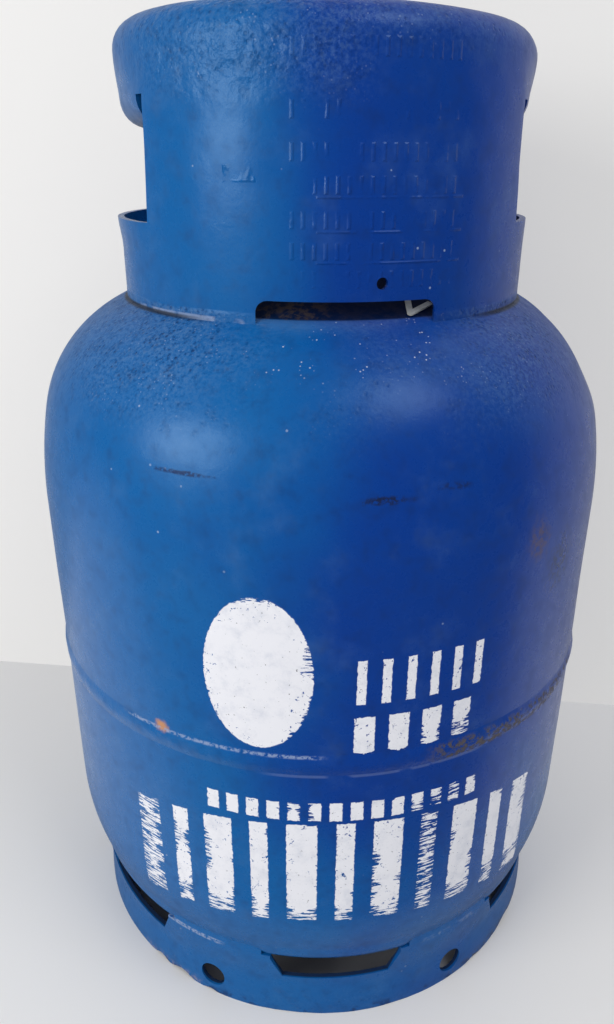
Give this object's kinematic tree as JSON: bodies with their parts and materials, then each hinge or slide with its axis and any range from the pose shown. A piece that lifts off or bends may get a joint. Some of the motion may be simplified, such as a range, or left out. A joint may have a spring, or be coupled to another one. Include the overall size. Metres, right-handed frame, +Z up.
{
  "type": "rusty gas cylinder",
  "caption": "Weathered blue steel gas cylinder with a welded body, a rolled valve guard, a vented foot ring and a working hand-wheel valve.",
  "frame": {"origin": "on the floor, under the cylinder's axis", "axes": "+Z up along the cylinder's axis; -Y is the front, which the drain slot faces; +X is the side that the valve outlet faces"},
  "size_m": [0.307, 0.307, 0.4965],
  "materials": {
    "blue_paint": "worn, pitted semi-gloss blue paint with chips, rust and faded white marks",
    "painted_weld": "rippled weld bead under worn blue paint, with rust",
    "brass": "dull handled brass, darkened in the corners",
    "steel": "zinc-plated steel, dulled",
    "rubber": "plain black seal rubber",
    "black_plastic": "scuffed black moulded plastic",
    "strip_film": "torn pale plastic strip, dusty"
  },
  "bodies": {
    "cylinder": {"upper_shell": "blue_paint", "lower_shell": "blue_paint", "girth_weld": "painted_weld", "guard": "blue_paint", "guard_welds": "painted_weld", "guard_seam": "painted_weld", "foot_ring": "blue_paint", "foot_ring_welds": "painted_weld", "foot_ring_seam": "painted_weld", "valve_boss": "blue_paint", "boss_weld": "painted_weld", "valve_body": "brass", "bonnet": "brass", "bonnet_gasket": "rubber", "spindle_seal": "rubber", "relief_spring": "steel", "relief_cap": "brass", "seal_strip": "strip_film"},
    "spindle": {"spindle": "steel", "handwheel": "black_plastic", "wheel_nut": "steel"},
    "seat": {"seat_block": "brass", "seat_pad": "rubber"},
    "relief": {"relief_poppet": "brass", "relief_pad": "rubber"}
  },
  "joints": [
    {"name": "handwheel_turn", "type": "hinge", "parent": "cylinder", "child": "spindle", "pos_m": [0, 0, 0.45], "axis": [0, 0, 1], "range_deg": [0, 600]},
    {"name": "seat_lift", "type": "slide", "parent": "spindle", "child": "seat", "axis": [0, 0, 1], "range_m": [0, 0.0026]},
    {"name": "relief_pop", "type": "slide", "parent": "cylinder", "child": "relief", "axis": [-1, 0, 0], "range_m": [0, 0.002], "stiffness_N_per_m": 6400, "springref_m": -0.005, "deforming": ["relief_spring"]}
  ],
  "couplings": [
    {"joint": "seat_lift", "follows": "handwheel_turn", "m_per_rad": 0.00023873}
  ]
}
